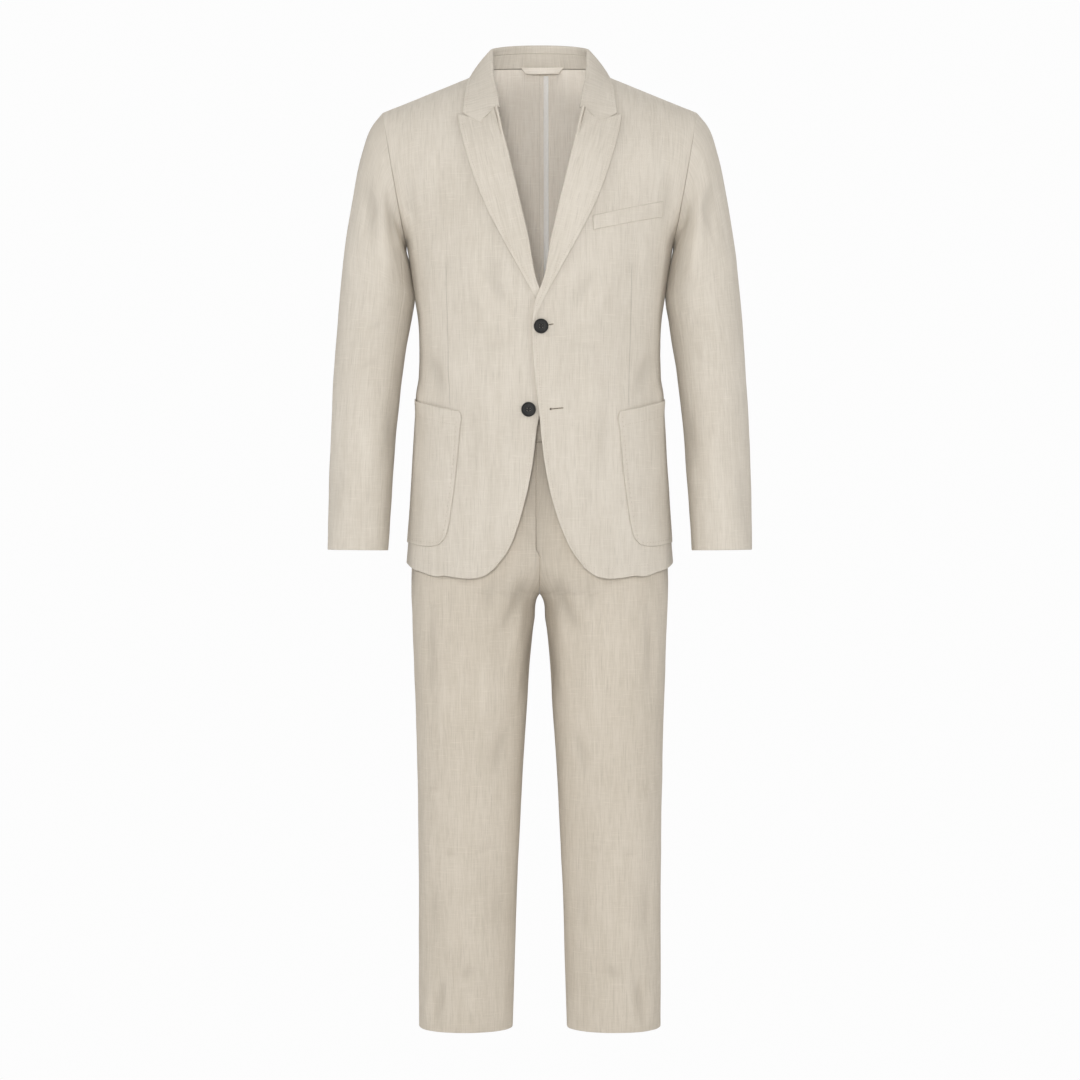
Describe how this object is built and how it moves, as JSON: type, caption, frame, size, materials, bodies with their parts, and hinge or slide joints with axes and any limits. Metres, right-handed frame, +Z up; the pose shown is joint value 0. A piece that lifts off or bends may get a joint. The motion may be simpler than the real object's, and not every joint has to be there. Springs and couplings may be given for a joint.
{
  "type": "linen suit",
  "caption": "Linen suit: an unlined two-button jacket with peak lapels, patch pockets and a cutaway front over straight trousers, hollow as if worn.",
  "frame": {"origin": "the middle of the neck at the height of the jacket's side neck points, where the shoulders of a wearer hold the suit", "axes": "+X towards the wearer's left, -Y the way the front faces, +Z up"},
  "size_m": [0.6312, 0.2642, 1.4819],
  "materials": {
    "jacket_linen": "plain-weave natural linen with slubs, matt",
    "trouser_linen": "plain-weave natural linen with slubs, matt, slightly deeper than the jacket",
    "binding_tape": "fine off-white cotton tape",
    "button": "near-black, satin, four holes"
  },
  "bodies": {
    "root": {"back_seam_tape": "binding_tape", "breast_welt": "jacket_linen", "button_lower": "button", "button_top": "button", "collar_fall": "jacket_linen", "collar_stand": "jacket_linen", "hanger_loop": "jacket_linen", "jacket_back_left": "jacket_linen", "jacket_back_right": "jacket_linen", "jacket_front_left": "jacket_linen", "jacket_front_right": "jacket_linen", "lapel_left": "jacket_linen", "lapel_right": "jacket_linen", "patch_pocket_left": "jacket_linen", "patch_pocket_right": "jacket_linen", "sleeve_left": "jacket_linen", "sleeve_right": "jacket_linen", "trouser_back_left": "trouser_linen", "trouser_back_right": "trouser_linen", "trouser_front_left": "trouser_linen", "trouser_front_right": "trouser_linen", "waistband": "trouser_linen"}
  },
  "joints": []
}
